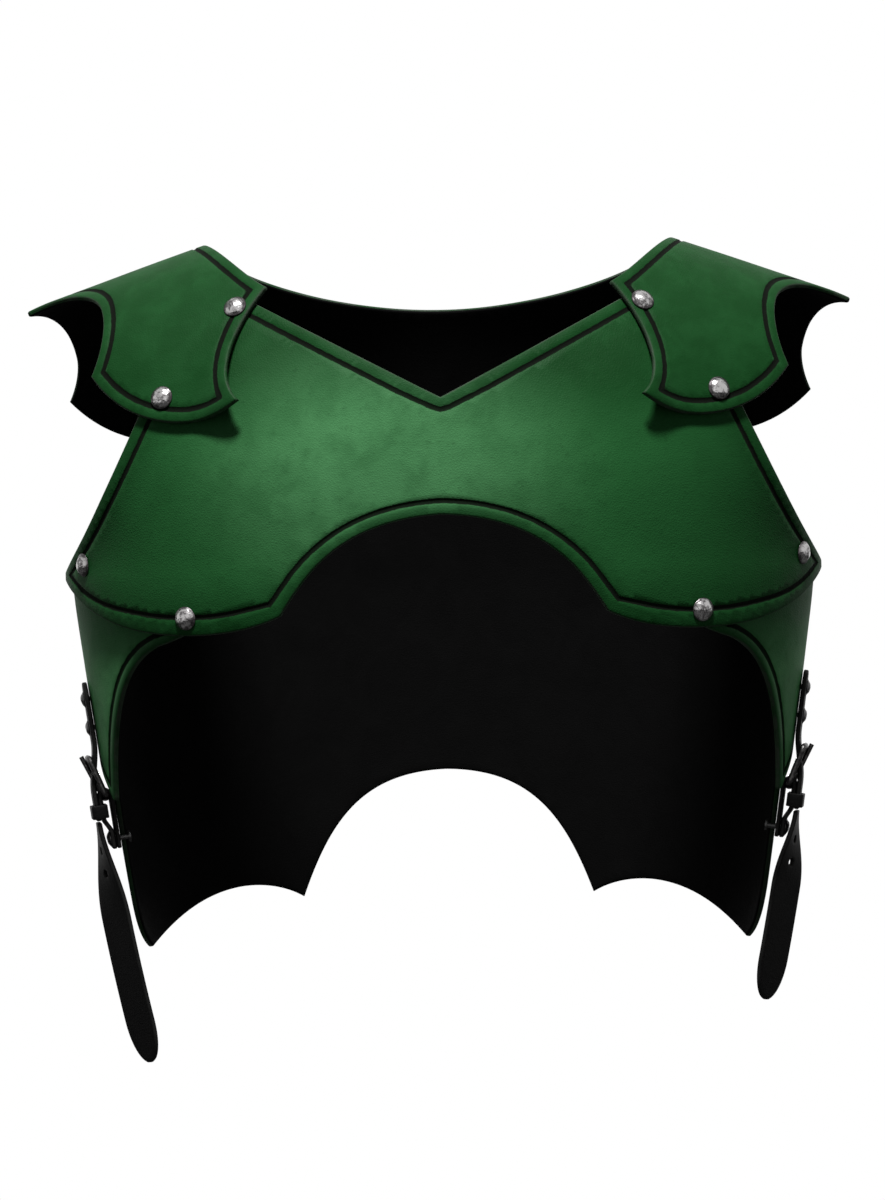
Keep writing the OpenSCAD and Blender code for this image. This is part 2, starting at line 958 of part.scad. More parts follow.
module strap_rivet_posts() {
  length = root_inner + strap_leather + seat/2 - panel_layer;
  color(steel)
    both_sides()
      closure()
        at_root_rivets()
          translate([0, 0, panel_layer])
            post(small_post_diameter, small_flange_diameter, length);
}

module chape_rivet_caps() {
  color(black)
    both_sides()
      closure()
        at_chape_rivets()
          translate([0, 0, chape_low_x + chape_leather + seat/2])
            domed_cap(small_cap_diameter, small_cap_height);
}

module chape_rivet_posts() {
  length = chape_low_x + chape_leather + seat/2 - back_layer + flange_room + flange_height;
  color(steel)
    both_sides()
      closure()
        at_chape_rivets()
          translate([0, 0, back_layer - flange_room - flange_height])
            post(small_post_diameter, small_flange_diameter, length);
}

chest_plate();
back_plate();
side_panel_left();
side_panel_right();
shoulder_guard_left();
shoulder_guard_right();
guard_front_rivet_caps();
guard_front_rivet_posts();
guard_back_rivet_caps();
guard_back_rivet_posts();
panel_rivet_caps();
panel_rivet_posts();
side_strap_left();
side_strap_right();
strap_tail_left();
strap_tail_right();
buckle_chape_left();
buckle_chape_right();
buckle_frame_left();
buckle_frame_right();
buckle_prong_left();
buckle_prong_right();
strap_keeper_left();
strap_keeper_right();
strap_rivet_caps();
strap_rivet_posts();
chape_rivet_caps();
chape_rivet_posts();
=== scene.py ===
import math
import bpy
import numpy as np
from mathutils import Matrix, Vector, kdtree
from mathutils.geometry import delaunay_2d_cdt


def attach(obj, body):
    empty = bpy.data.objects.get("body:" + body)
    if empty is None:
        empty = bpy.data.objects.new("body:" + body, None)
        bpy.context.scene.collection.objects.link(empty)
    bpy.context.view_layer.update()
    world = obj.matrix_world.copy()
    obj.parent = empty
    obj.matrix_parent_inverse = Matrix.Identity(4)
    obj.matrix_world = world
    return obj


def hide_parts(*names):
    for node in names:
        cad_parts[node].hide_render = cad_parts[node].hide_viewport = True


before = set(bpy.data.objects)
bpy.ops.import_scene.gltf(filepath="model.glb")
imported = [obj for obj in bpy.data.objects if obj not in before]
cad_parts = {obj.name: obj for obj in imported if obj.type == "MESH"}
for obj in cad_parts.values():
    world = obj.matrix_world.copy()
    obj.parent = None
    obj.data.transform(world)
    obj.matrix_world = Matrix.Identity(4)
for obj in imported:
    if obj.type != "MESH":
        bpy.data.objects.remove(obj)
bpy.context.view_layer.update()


# Camera: in front of the object at the height of its middle, rolled one degree as in the photo.
# The lens is the one that gives the photo's scale from 2.5 m away.
camera_data = bpy.data.cameras.new("camera")
camera_data.sensor_width = 36
camera_data.lens = 143.1
camera_data.shift_x = -0.0012
camera_data.clip_end = 50
camera = bpy.data.objects.new("camera", camera_data)
camera.location = (0, -2.5, -0.180)
camera.rotation_euler = (math.radians(90), math.radians(1.0), 0)
bpy.context.scene.collection.objects.link(camera)
bpy.context.scene.camera = camera


# Studio: a plain pale floor that keeps the object's shadow, and a white world. Both look bright but
# throw little light on the object. A soft lamp hangs high in front, a weak one stands by the camera,
# and one behind is lower than the shoulders, so that it doesn't shine along their upper edge.
def principled(name):
    material = bpy.data.materials.new(name)
    material.use_nodes = True
    tree = material.node_tree
    return material, tree, tree.nodes["Principled BSDF"]


def put(tree, kind, values=(), **settings):
    made = tree.nodes.new(kind)
    for key, value in settings.items():
        setattr(made, key, value)
    for key, value in dict(values).items():
        made.inputs[key].default_value = value
    return made


def lamp(name, place, target, size, power):
    data = bpy.data.lights.new(name, "AREA")
    data.shape = "RECTANGLE"
    data.size, data.size_y = size
    data.energy = power
    made = bpy.data.objects.new(name, data)
    made.location = place
    made.rotation_euler = (Vector(target) - Vector(place)).to_track_quat("-Z", "Y").to_euler()
    bpy.context.scene.collection.objects.link(made)


half, height = 5, -1.3
floor_corners = [(-half, -half, height), (half, -half, height), (half, half, height), (-half, half, height)]
floor_data = bpy.data.meshes.new("studio_floor")
floor_data.from_pydata(floor_corners, [], [(0, 1, 2, 3)])
floor = bpy.data.objects.new("studio_floor", floor_data)
bpy.context.scene.collection.objects.link(floor)
paper, tree, shader = principled("paper")
seen = put(tree, "ShaderNodeLightPath")
shade = put(tree, "ShaderNodeMix", {6: (0.12, 0.12, 0.12, 1), 7: (0.8, 0.8, 0.8, 1)}, data_type="RGBA")
tree.links.new(seen.outputs["Is Camera Ray"], shade.inputs[0])
tree.links.new(shade.outputs[2], shader.inputs["Base Color"])
pallor = put(tree, "ShaderNodeMapRange", {3: 0.0, 4: 0.5})
tree.links.new(seen.outputs["Is Camera Ray"], pallor.inputs[0])
shader.inputs["Emission Color"].default_value = (1, 1, 1, 1)
tree.links.new(pallor.outputs[0], shader.inputs["Emission Strength"])
shader.inputs["Roughness"].default_value = 0.9
floor_data.materials.append(paper)

world = bpy.data.worlds.new("world")
bpy.context.scene.world = world
world.use_nodes = True
tree = world.node_tree
seen = put(tree, "ShaderNodeLightPath")
shown = put(tree, "ShaderNodeMath", operation="MAXIMUM")
tree.links.new(seen.outputs["Is Camera Ray"], shown.inputs[0])
tree.links.new(seen.outputs["Is Glossy Ray"], shown.inputs[1])
shown_too = put(tree, "ShaderNodeMath", operation="MAXIMUM")
tree.links.new(shown.outputs[0], shown_too.inputs[0])
tree.links.new(seen.outputs["Is Transmission Ray"], shown_too.inputs[1])
strength = put(tree, "ShaderNodeMapRange", {3: 0.035, 4: 1.0})
tree.links.new(shown_too.outputs[0], strength.inputs[0])
tree.nodes["Background"].inputs["Color"].default_value = (1, 1, 1, 1)
tree.links.new(strength.outputs[0], tree.nodes["Background"].inputs["Strength"])
bpy.context.scene.view_settings.view_transform = "Standard"

lamp("key_lamp", (-0.12, -1.0, 1.88), (0, 0, -0.12), (0.4, 0.3), 93)
lamp("front_lamp", (0.15, -2.8, 0.3), (0, 0, -0.15), (0.8, 0.6), 0.8)
lamp("back_lamp", (0.1, 2.3, -0.16), (0, 0, -0.2), (0.3, 0.3), 40)


# Chest plate: one panel of 3.5 mm veg-tanned leather, wet-formed to the chest, with a V neck, an
# arch between two lobes and a line tooled in 7 mm from its edge. Its edges are rounded and burnished,
# the face is dyed green, the back is black. The face is darker outward and toward the shoulders, partly
# airbrushed dye and partly painted shade, and lighter round the middle, partly a painted sheen. It hangs
# on four rivets.
leather = 3.5
layer_pitch = leather + 0.45
chest_layer = 2 * layer_pitch + 0.2
half_body, front_depth, back_depth = 186.5, 112.0, 110.0
shoulder_drop, shoulder_spread, spread_height = 150.0, 53.0, 135
ridge_top, ridge_slope, ridge_bend = 31.5, 0.348, 20
waist_taper, taper_bend = 0.15, 15
tip_drop, tip_angle = 164.0, 85.0


def soft(distance, bend):
    """The distance without its sign, with the kink at nought rounded over the length of the bend."""
    return distance * distance / (np.abs(distance) + bend)


def ease(t):
    """A smooth rise from 0 to 1 while t goes from 0 to 1."""
    c = np.clip(t, 0, 1)
    return c * c * (3 - 2 * c)


def narrowing(z):
    return waist_taper * soft(np.maximum(-tip_drop - z, 0), taper_bend)


def half_width(z):
    return half_body - narrowing(z) + shoulder_spread * ease((z + tip_drop) / spread_height)


def ridge(x):
    return ridge_top - ridge_slope * soft(x, ridge_bend)


def drop_of(girth):
    turn = np.radians(np.clip(girth, 0, 90))
    return shoulder_drop * (1 - np.cos(turn) + np.radians(np.maximum(girth - 90, 0)))


def girth_of(drop):
    round_part = np.degrees(np.arccos(np.clip(1 - drop / shoulder_drop, 0, 1)))
    return np.where(drop < shoulder_drop, round_part, 90 + np.degrees(drop / shoulder_drop - 1))


def body_at(q):
    """A point of the body from its angle round it and its girth down from the shoulder line, in mm."""
    angle, girth = np.radians(q[:, 0]), q[:, 1]
    z = np.full(len(q), -150.0)
    for _ in range(9):
        z = ridge(half_width(z) * np.abs(np.sin(angle))) - drop_of(girth)
    c = np.cos(angle)
    depth = np.where(c > 0, front_depth, back_depth) * (1 - narrowing(z) / half_body)
    share = np.sin(np.radians(np.clip(girth, 0, 90)))
    return np.stack([half_width(z) * np.sin(angle), -depth * share * c, z], 1)


def on_chest(points):
    """Angle and girth of points of the front, given by x and height."""
    x, z = np.asarray(points, float).T
    return np.stack([np.degrees(np.arcsin(np.clip(x / half_width(z), -1, 1))), girth_of(ridge(x) - z)], 1)


def on_side(points):
    """Angle and girth of points of the side, given by angle and height."""
    angle, z = np.asarray(points, float).T
    return np.stack([angle, girth_of(ridge(half_width(z) * np.sin(np.radians(angle))) - z)], 1)


curve_steps = 60


def curve(p):
    """Points along a curve from the first of four points to the last, drawn toward the two between."""
    t = np.linspace(0, 1, curve_steps + 1)[:, None]
    s = 1 - t
    p = np.asarray(p, float)
    return s**3 * p[0] + 3 * s * s * t * p[1] + 3 * s * t * t * p[2] + t**3 * p[3]


def straight(a, b, steps=curve_steps):
    return np.asarray(a, float) + np.linspace(0, 1, steps + 1)[:, None] * (np.asarray(b, float) - a)


def unit(v):
    return v / np.maximum(np.linalg.norm(v, axis=-1, keepdims=True), 1e-12)


def slopes(surface, q, turned=False, step=0.02):
    """Change of the surface's point with each of its two coordinates, and its outward normal."""
    du, dv = np.array([step, 0]), np.array([0, step])
    a = (surface(q + du) - surface(q - du)) / (2 * step)
    b = (surface(q + dv) - surface(q - dv)) / (2 * step)
    return a, b, unit(np.cross(a, b) if turned else np.cross(b, a))


def resample(surface, edges, spacing):
    """One closed loop of the coordinates of several edges, evenly spaced, with a point at each corner."""
    loop = []
    for edge in edges:
        p = surface(edge)
        run = np.concatenate([[0], np.cumsum(np.linalg.norm(np.diff(p, axis=0), axis=1))])
        count = max(2, int(round(run[-1] / spacing)))
        at = np.linspace(0, run[-1], count + 1)[:-1]
        loop.append(np.stack([np.interp(at, run, edge[:, k]) for k in (0, 1)], 1))
    return np.concatenate(loop)


def nearest(tree_points, points):
    """Distance from each point to a set of points, and which one is nearest."""
    tree = kdtree.KDTree(len(tree_points))
    for k, p in enumerate(tree_points):
        tree.insert(p, k)
    tree.balance()
    found = [tree.find(p)[1:] for p in points]
    return np.array([f[1] for f in found]), np.array([f[0] for f in found])


def inside(loop, points):
    """Which of the points lie inside a closed loop."""
    x, y = points.T
    hit = np.zeros(len(points), bool)
    for (xa, ya), (xb, yb) in zip(loop, np.roll(loop, -1, 0)):
        if ya != yb:
            hit ^= ((ya > y) != (yb > y)) & (x < (xb - xa) * (y - ya) / (yb - ya) + xa)
    return hit


hole_steps = 24


def round_hole(surface, centre, radius, round_edge=0.5, stretch=0.0):
    """Loops of a round hole and of its rounded rim, or of a slot if it is stretched."""
    turn = np.linspace(0, 2 * np.pi, hole_steps, endpoint=False)
    c = np.asarray(centre, float)
    a, b, _ = slopes(surface, c[None])
    size = np.array([np.linalg.norm(a[0]), np.linalg.norm(b[0])])
    ring = np.stack([np.cos(turn), np.sin(turn)], 1)
    pull = np.stack([np.sign(ring[:, 0] + 1e-9) * stretch, 0 * turn], 1)
    return [c + (ring * r + pull) / size for r in (radius, radius + round_edge)]


fine_steps = 6


def fine_loop(surface, loop):
    """Points of a closed loop on the surface, with each stretch between two of its points cut in six."""
    t = np.arange(fine_steps)[None, :, None] / fine_steps
    following = np.roll(loop, -1, 0)
    return surface((loop[:, None] * (1 - t) + following[:, None] * t).reshape(-1, 2))


no_line = 9.0
sharpest_mitre, row_shift = 0.35, 0.87
clear_of_edge, clear_of_line, clear_of_hole = 0.9, 0.8, 1.15


def sheet_mesh(surface, edges, scale, thick, out, turned=False, spacing=1.6, grid=3.4, round_edge=1.1,
               line=None, line_half=1.35, line_depth=0.5, holes=(), wave=0.0):
    """The mesh of a piece of sheet leather: a face, a back and a rounded edge, with the tooled line cut in.
    Returns points in mm, faces, each point's distance from the edge and from the line, and the number of
    faces that the front has, which the back's follow."""
    scale = np.array(scale, float)
    loop = resample(surface, edges, spacing)
    p = surface(loop)
    a, b, n = slopes(surface, loop, turned)
    ahead = unit(np.roll(p, -1, 0) - p)
    behind = np.roll(ahead, 1, 0)
    area = np.sum(loop[:, 0] * scale[0] * np.roll(loop[:, 1] * scale[1], -1) -
                  np.roll(loop[:, 0] * scale[0], -1) * loop[:, 1] * scale[1])
    turn = 1 if (area > 0) == turned else -1
    before, after = turn * unit(np.cross(n, behind)), turn * unit(np.cross(n, ahead))
    mitre = (before + after) / np.maximum(1 + np.sum(before * after, 1), sharpest_mitre)[:, None]
    reflex = turn * np.sum(np.cross(behind, ahead) * n, 1) < 0
    mitre[reflex] = unit(before + after)[reflex]
    jac = np.stack([a, b], 2)
    inward = np.einsum("nij,nj->ni", np.linalg.pinv(jac), mitre)
    edge_points = fine_loop(surface, loop)

    rings = [(share * round_edge, None) for share in (0.0, 0.13, 0.42, 0.95)]
    if line is not None:
        line_at = np.broadcast_to(line(loop) if callable(line) else line, (len(loop),))
        rings += [(1.0, share) for share in (-1, -0.72, -0.38, 0, 0.38, 0.72, 1)]
    points, constraint, from_edge, from_line = [], [], [], []
    count = 0
    for far, share in rings:
        reach = np.full(len(loop), far) if share is None else line_at + share * line_half
        q = loop + inward * reach[:, None]
        if reach.max() > 0:
            near, _ = nearest(edge_points, surface(q))
            keep = near > reach - 0.06 - 0.02 * reach
        else:
            keep = np.ones(len(loop), bool)
        number = np.where(keep, np.cumsum(keep) - 1, -1)
        kept = number[keep]
        following = np.roll(kept, -1)
        constraint += [(count + i, count + j) for i, j in zip(kept, following) if i != j]
        points.append(q[keep])
        from_edge.append(reach[keep])
        beside = np.full(len(loop), no_line) if line is None else reach - line_at
        from_line.append(beside[keep])
        count += keep.sum()
    for rim_loop, outer_loop in holes:
        between = (rim_loop + outer_loop) / 2
        for ring, far in ((rim_loop, 0.0), (between, round_edge / 2), (outer_loop, round_edge)):
            size = len(ring)
            points.append(ring)
            constraint += [(count + k, count + (k + 1) % size) for k in range(size)]
            from_edge.append(np.full(size, far))
            from_line.append(np.full(size, no_line))
            count += size

    lo, hi = loop.min(0), loop.max(0)
    step = grid / scale
    gx, gy = np.meshgrid(np.arange(lo[0], hi[0], step[0]), np.arange(lo[1], hi[1], step[1] * row_shift))
    gx = gx + np.where(np.arange(len(gx)) % 2, step[0] / 2, 0)[:, None]
    fill = np.stack([gx.ravel(), gy.ravel()], 1)
    fill = fill[inside(loop, fill)]
    for _, outer_loop in holes:
        middle = outer_loop.mean(0)
        fill = fill[~inside(middle + (outer_loop - middle) * clear_of_hole, fill)]
    near, which = nearest(edge_points, surface(fill))
    clear = near > round_edge + clear_of_edge
    if line is not None:
        clear &= np.abs(near - line_at[which // fine_steps]) > line_half + clear_of_line
    fill, near, which = fill[clear], near[clear], which[clear]
    points.append(fill)
    from_edge.append(near)
    from_line.append(near - line_at[which // fine_steps] if line is not None else np.full(len(fill), no_line))
    points = np.concatenate(points)
    from_edge, from_line = np.concatenate(from_edge), np.concatenate(from_line)

    made = delaunay_2d_cdt([Vector(v) for v in points * scale], constraint, [], 0, 1e-4, True)
    flat = np.array([tuple(v) for v in made[0]])
    origin = np.array([ids[0] if ids else -1 for ids in made[3]])
    q = flat / scale
    faces = np.array([f for f in made[2] if len(f) == 3])
    centres = q[faces].mean(1)
    good = inside(loop, centres)
    for rim_loop, _ in holes:
        good &= ~inside(rim_loop, centres)
    faces = faces[good]
    known = origin >= 0
    edge_value, line_value = np.zeros(len(q)), np.full(len(q), no_line)
    edge_value[known], line_value[known] = from_edge[origin[known]], from_line[origin[known]]
    if (~known).any():
        near, which = nearest(edge_points, surface(q[~known]))
        edge_value[~known] = near
        if line is not None:
            line_value[~known] = near - line_at[which // fine_steps]

    a, b, n = slopes(surface, q, turned)
    base = surface(q)
    e = np.clip(edge_value, 0, round_edge)
    fall = round_edge - np.sqrt(round_edge**2 - (round_edge - e) ** 2)
    cut = line_depth * np.clip(1 - (line_value / line_half) ** 2, 0, 1) ** 0.8
    swell = wave * (np.sin(base[:, 0] * 0.083 + 1.3 * np.sin(base[:, 2] * 0.047)) *
                    np.sin(base[:, 2] * 0.071 + 1.7 * np.sin(base[:, 0] * 0.039)))
    level = out(q, base) if callable(out) else np.full(len(q), float(out))
    face = base + n * (level + thick - fall - cut + swell)[:, None]
    back = base + n * (level + np.maximum(fall, 0.02))[:, None]
    size = len(q)
    first, second, third = (face[faces[:, k]] for k in (0, 1, 2))
    flip = np.sum(np.cross(second - first, third - first) * n[faces[:, 0]], 1) < 0
    faces[flip] = faces[flip][:, ::-1]
    sides = dict.fromkeys((i, j) for f in faces for i, j in ((f[0], f[1]), (f[1], f[2]), (f[2], f[0])))
    border = [(i, j) for i, j in sides if (j, i) not in sides]
    rim = [(i, i + size, j + size, j) for i, j in border]
    used = np.zeros(2 * size, bool)
    all_faces = [tuple(f) for f in faces] + [tuple(f[::-1] + size) for f in faces] + rim
    for f in all_faces:
        used[list(f)] = True
    renumber = np.cumsum(used) - 1
    return {
        "points": np.concatenate([face, back])[used],
        "faces": [tuple(renumber[list(f)]) for f in all_faces],
        "edge": np.concatenate([edge_value, edge_value])[used],
        "line": np.concatenate([line_value, np.full(size, no_line)])[used],
        "behind": len(faces),
    }


def piece(name, made, material, body, replaces=(), mirror=False, painted_light=None):
    """An object of a mesh given in mm, on its CAD body. A leather is painted lighter, as painted light, where
    the function given for that says so, from the distance from the middle and the height."""
    points = np.array(made["points"]) * 0.001
    faces = made["faces"]
    if mirror:
        points = points * [-1, 1, 1]
        faces = [f[::-1] for f in faces]
    data = bpy.data.meshes.new(name)
    data.from_pydata(points.tolist(), [], [tuple(int(i) for i in f) for f in faces])
    data.polygons.foreach_set("use_smooth", [True] * len(data.polygons))
    data.materials.append(material)
    if "edge" in made:
        paint = {"edge": made["edge"], "line": made["line"]}
        # Painted light: how much lighter each point of the leather is painted.
        if painted_light:
            paint["painted_light"] = painted_light(np.abs(points[:, 0]), points[:, 2])
        for key, values in paint.items():
            data.attributes.new(key, "FLOAT", "POINT").data.foreach_set("value", values.astype(np.float32))
        data.materials.append(leather_back)
        number = np.arange(len(faces))
        behind = (number >= made["behind"]) & (number < 2 * made["behind"])
        data.polygons.foreach_set("material_index", behind.astype(int).tolist())
    made_object = bpy.data.objects.new(name, data)
    bpy.context.scene.collection.objects.link(made_object)
    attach(made_object, body)
    if replaces:
        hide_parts(*replaces)
    return made_object


def pair(name, made, material, painted_light=None):
    """A leather piece on the right and its mirror image on the left, both fixed to the shell."""
    for side, mirror in (("right", False), ("left", True)):
        piece(f"{name}_leather_{side}", made, material, "shell", [f"{name}_{side}"], mirror, painted_light)


def math_node(tree, kind, a, b=None, clamp=False):
    """The result of a sum of one or two values, each a number or another node's outlet."""
    made = put(tree, "ShaderNodeMath", operation=kind, use_clamp=clamp)
    for k, v in enumerate((a, b)):
        if v is None:
            continue
        if isinstance(v, (int, float)):
            made.inputs[k].default_value = v
        else:
            tree.links.new(v, made.inputs[k])
    return made.outputs[0]


def product(tree, a, b, clamp=False):
    return math_node(tree, "MULTIPLY", a, b, clamp)


def around_nought(tree, value, size):
    """A noise from 0 to 1, moved to lie round nought and given a size."""
    return product(tree, math_node(tree, "SUBTRACT", value, 0.5), size)


def ramp(tree, value, low, high, to_low=0.0, to_high=1.0):
    """A smooth change from one value to another while the given value goes from low to high."""
    limits = {1: low, 2: high, 3: to_low, 4: to_high}
    made = put(tree, "ShaderNodeMapRange", limits, interpolation_type="SMOOTHSTEP")
    tree.links.new(value, made.inputs[0])
    return made.outputs[0]


def blend_colour(tree, share, a, b):
    made = put(tree, "ShaderNodeMix", data_type="RGBA")
    for index, v in ((0, share), (6, a), (7, b)):
        if isinstance(v, (int, float, tuple)):
            made.inputs[index].default_value = v
        else:
            tree.links.new(v, made.inputs[index])
    return made.outputs[2]


def noise(tree, where, scale, detail, rough, warp=0.0):
    sizes = {"Scale": scale, "Detail": detail, "Roughness": rough, "Distortion": warp}
    made = put(tree, "ShaderNodeTexNoise", sizes)
    tree.links.new(where, made.inputs["Vector"])
    return made.outputs[0]


def grain(tree, shader, where, mottle, fine, strength):
    """Pebbled grain with pores, raised on the surface."""
    cells = put(tree, "ShaderNodeTexVoronoi", {"Scale": 780.0, "Randomness": 1.0}, feature="DISTANCE_TO_EDGE")
    tree.links.new(where, cells.inputs["Vector"])
    pebble = ramp(tree, cells.outputs["Distance"], 0.0, 0.35)
    relief = math_node(tree, "ADD", product(tree, pebble, 0.35), product(tree, fine, 0.8))
    relief = math_node(tree, "ADD", relief, product(tree, mottle, 0.9))
    bump = put(tree, "ShaderNodeBump", {"Strength": strength, "Distance": 0.0005})
    tree.links.new(relief, bump.inputs["Height"])
    tree.links.new(bump.outputs[0], shader.inputs["Normal"])


# Middle and stretch of the painted sheen, and of the painted shade outward from it.
glow_centre, glow_stretch = (-0.026, 0.0, -0.115), (0.85, 0.0, 1.25)


def scaled(colour, factor):
    return tuple(factor * c for c in colour[:3]) + (1,)


def leather_material(name, light, middle, dark, rim, tooled, gloss=0.45, shine=0.06):
    """Dyed leather, darker near the edges, mottled, with grain and pores, the tooled line dyed dark with a
    ragged edge, and worn rims. Round the middle of the chest it is lighter, which is partly airbrushed dye
    and partly a painted sheen; outward and toward the shoulders it is darker, partly airbrushed dye and
    partly painted shade. A piece can also be painted lighter where its own attribute says so, as painted
    light."""
    material, tree, shader = principled(name)
    where = put(tree, "ShaderNodeTexCoord").outputs["Object"]
    edge, line, painted_light = (put(tree, "ShaderNodeAttribute", attribute_name=key).outputs["Fac"]
                        for key in ("edge", "line", "painted_light"))
    cloud = noise(tree, where, 9, 4, 0.55, 0.4)
    mottle = noise(tree, where, 42, 6, 0.62, 0.8)
    fine = noise(tree, where, 260, 5, 0.6)
    uneven = math_node(tree, "ADD", around_nought(tree, cloud, 0.9), around_nought(tree, mottle, 0.5))

    from_centre = put(tree, "ShaderNodeVectorMath", {1: glow_centre}, operation="SUBTRACT")
    tree.links.new(where, from_centre.inputs[0])
    stretched = put(tree, "ShaderNodeVectorMath", {1: glow_stretch}, operation="MULTIPLY")
    tree.links.new(from_centre.outputs[0], stretched.inputs[0])
    length = put(tree, "ShaderNodeVectorMath", operation="LENGTH")
    tree.links.new(stretched.outputs[0], length.inputs[0])
    far = length.outputs["Value"]
    place = put(tree, "ShaderNodeSeparateXYZ")
    tree.links.new(where, place.inputs[0])

    inner = math_node(tree, "ADD", ramp(tree, edge, -8, 26), uneven, True)
    # Painted shade, partly airbrushed dye: darker outward from the middle and, above the lobes, toward the
    # shoulders. A piece painted as if lit is spared it.
    outer = math_node(tree, "SUBTRACT", 1.0, ramp(tree, far, 0.1, 0.2, 0.0, 0.75))
    outer = product(tree, outer, ramp(tree, place.outputs["Z"], -0.11, -0.06, 1.0, 0.05))
    outer = math_node(tree, "MAXIMUM", outer, painted_light)
    colour = blend_colour(tree, product(tree, inner, outer), dark, middle)
    # Painted sheen, partly airbrushed dye: lighter round the middle of the chest, and lighter still where a
    # piece is painted as if lit.
    painted_sheen_and_dye = ramp(tree, far, 0.02, 0.105, 1.0, 0.0)
    painted_sheen_and_dye = product(tree, painted_sheen_and_dye, math_node(tree, "ADD", 0.85, uneven), True)
    painted_sheen_and_dye = product(tree, painted_sheen_and_dye, ramp(tree, edge, 0, 13, 0.2, 1.0))
    painted_sheen_and_dye = math_node(tree, "MAXIMUM", painted_sheen_and_dye, product(tree, painted_light, ramp(tree, edge, 0, 9)))
    colour = blend_colour(tree, painted_sheen_and_dye, colour, light)
    blotch = product(tree, ramp(tree, noise(tree, where, 60, 3, 0.6, 0.3), 0.36, 0.72), 0.34)
    colour = blend_colour(tree, blotch, colour, scaled(middle, 0.75))
    speck = product(tree, ramp(tree, fine, 0.56, 0.75), 0.22)
    colour = blend_colour(tree, speck, colour, scaled(dark, 0.55))

    from_line = math_node(tree, "ADD", math_node(tree, "ABSOLUTE", line), around_nought(tree, fine, 0.9))
    in_line = math_node(tree, "SUBTRACT", 1.0, ramp(tree, from_line, 1.05, 1.55))
    colour = blend_colour(tree, product(tree, in_line, 0.95), colour, tooled)
    on_rim = math_node(tree, "SUBTRACT", 1.0, ramp(tree, edge, 0.1, 1.0))
    worn = product(tree, on_rim, ramp(tree, mottle, 0.3, 0.62))
    tree.links.new(blend_colour(tree, worn, colour, rim), shader.inputs["Base Color"])
    rough = math_node(tree, "ADD", gloss, product(tree, mottle, 0.22))
    rough = math_node(tree, "ADD", rough, product(tree, in_line, 0.4))
    tree.links.new(rough, shader.inputs["Roughness"])
    shader.inputs["Specular IOR Level"].default_value = shine
    grain(tree, shader, where, mottle, fine, 0.32)
    return material


flesh_dark, flesh_light = (0.0015, 0.0015, 0.0015, 1), (0.004, 0.004, 0.004, 1)
leather_back, tree, shader = principled("leather_back")
where = put(tree, "ShaderNodeTexCoord").outputs["Object"]
mottle = noise(tree, where, 42, 6, 0.62, 0.8)
tree.links.new(blend_colour(tree, mottle, flesh_dark, flesh_light), shader.inputs["Base Color"])
tree.links.new(math_node(tree, "ADD", 0.6, product(tree, mottle, 0.2)), shader.inputs["Roughness"])
shader.inputs["Specular IOR Level"].default_value = 0.02
grain(tree, shader, where, mottle, noise(tree, where, 260, 5, 0.6), 0.3)
green_edges = {"dark": (0.003, 0.033, 0.006, 1), "rim": (0.034, 0.050, 0.034, 1),
               "tooled": (0.003, 0.0025, 0.0025, 1)}
green_leather = leather_material("green_leather", light=(0.066, 0.222, 0.084, 1),
                                 middle=(0.015, 0.092, 0.024, 1), **green_edges)

lobe_corner, neck_end, shoulder_corner = (79, -186), (98, -30), (130, -49)
tip_x = half_body * math.sin(math.radians(tip_angle))
tip_low, tip_high = (tip_x, -tip_drop - 2.5), (tip_x, -tip_drop + 2.5)
chest_right = [
    curve([(0, -137.5), (43, -139), (64, -160), lobe_corner]),
    curve([lobe_corner, (90, -192), (108, -195.5), (125, -195)]),
    curve([(125, -195), (150, -194.5), (172, -188), tip_low]),
    straight(tip_low, tip_high, 4),
    straight(tip_high, shoulder_corner),
    straight(shoulder_corner, neck_end),
    straight(neck_end, (0, -80.7)),
]
chest_edges = [np.concatenate([chest_right[1], chest_right[2][1:]])] + chest_right[3:]
chest_left = [e[::-1] * [-1, 1] for e in chest_edges[::-1]]
arch = np.concatenate([chest_right[0][::-1] * [-1, 1], chest_right[0][1:]])
chest_edges = [on_chest(e) for e in chest_edges + chest_left + [arch]]


def chest_line(loop):
    """The tooled line runs 7 mm inside the edge, about 9 mm along the lobes and 6 mm at the V's tip."""
    p = body_at(loop)
    low = ease((-158 - p[:, 2]) / 22) * ease((np.abs(p[:, 0]) - 70) / 25) * ease((178 - np.abs(p[:, 0])) / 30)
    at_tip = ease(1 - np.abs(p[:, 0]) / 20) * (p[:, 2] > -110)
    return 7.0 + 2.3 * low - 0.8 * at_tip


def shoulder_to_body(q):
    """Angle and girth of points given by x and a girth that is negative in front."""
    z = ridge(q[:, 0]) - drop_of(np.abs(q[:, 1]))
    angle = np.degrees(np.arcsin(np.clip(q[:, 0] / half_width(z), -1, 1)))
    return np.stack([np.where(q[:, 1] < 0, angle, 180 - angle), np.abs(q[:, 1])], 1)


panel_places = on_side([(42.6, -186), (69.7, -158)])
guard_front_places = np.array([(98.5, -43.5), (134.5, -57.7)])
hole = 2.25
chest_places = np.concatenate([panel_places, shoulder_to_body(guard_front_places)])
chest_places = np.concatenate([chest_places, chest_places * [-1, 1]])
body_scale = (2.75, 2.62)
chest_mesh = sheet_mesh(body_at, chest_edges, body_scale, leather, chest_layer, line=chest_line,
                        holes=[round_hole(body_at, c, hole) for c in chest_places], wave=0.12)
piece("chest_plate_leather", chest_mesh, green_leather, "shell", ["chest_plate"])


